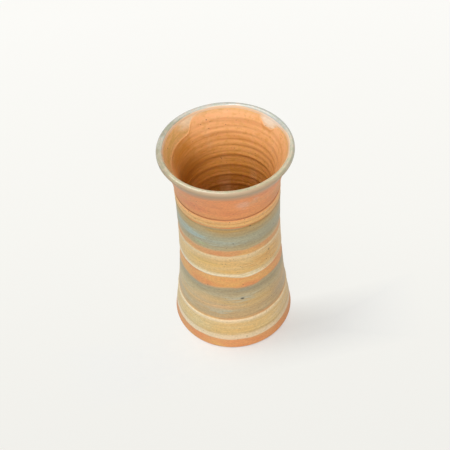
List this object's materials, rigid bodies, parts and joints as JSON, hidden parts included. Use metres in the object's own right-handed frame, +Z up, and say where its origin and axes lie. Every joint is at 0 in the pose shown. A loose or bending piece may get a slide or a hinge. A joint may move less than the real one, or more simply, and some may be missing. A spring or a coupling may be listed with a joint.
{
  "type": "ceramic vase",
  "caption": "Thrown stoneware vase, a waisted cylinder with a flared, glazed lip, a wider foot and bands of cream, ochre and blue-grey slip, for holding cut or dried flowers.",
  "frame": {"origin": "middle of the foot, on the surface that the vase stands on", "axes": "+Z up along the axis that the vase was thrown on; -Y is the side that the picture shows"},
  "size_m": [0.0992, 0.0992, 0.18],
  "materials": {
    "fired_clay": "bare toasted stoneware, satin, with fine iron specks",
    "celadon_glaze": "glossy grey-green glaze",
    "amber_glaze": "thin glossy amber liner glaze over throwing rings",
    "ochre_slip": "satin yellow-ochre slip",
    "blue_grey_slip": "satin blue-grey slip with brush streaks and iron specks",
    "cream_slip": "satin cream to ochre slip, paler at its edges"
  },
  "bodies": {
    "root": {"clay_body": "fired_clay", "rim_glaze": "celadon_glaze", "liner_glaze": "amber_glaze", "shoulder_ochre_band": "ochre_slip", "upper_blue_band": "blue_grey_slip", "upper_cream_band": "cream_slip", "lower_blue_band": "blue_grey_slip", "foot_cream_band": "cream_slip"}
  },
  "joints": []
}
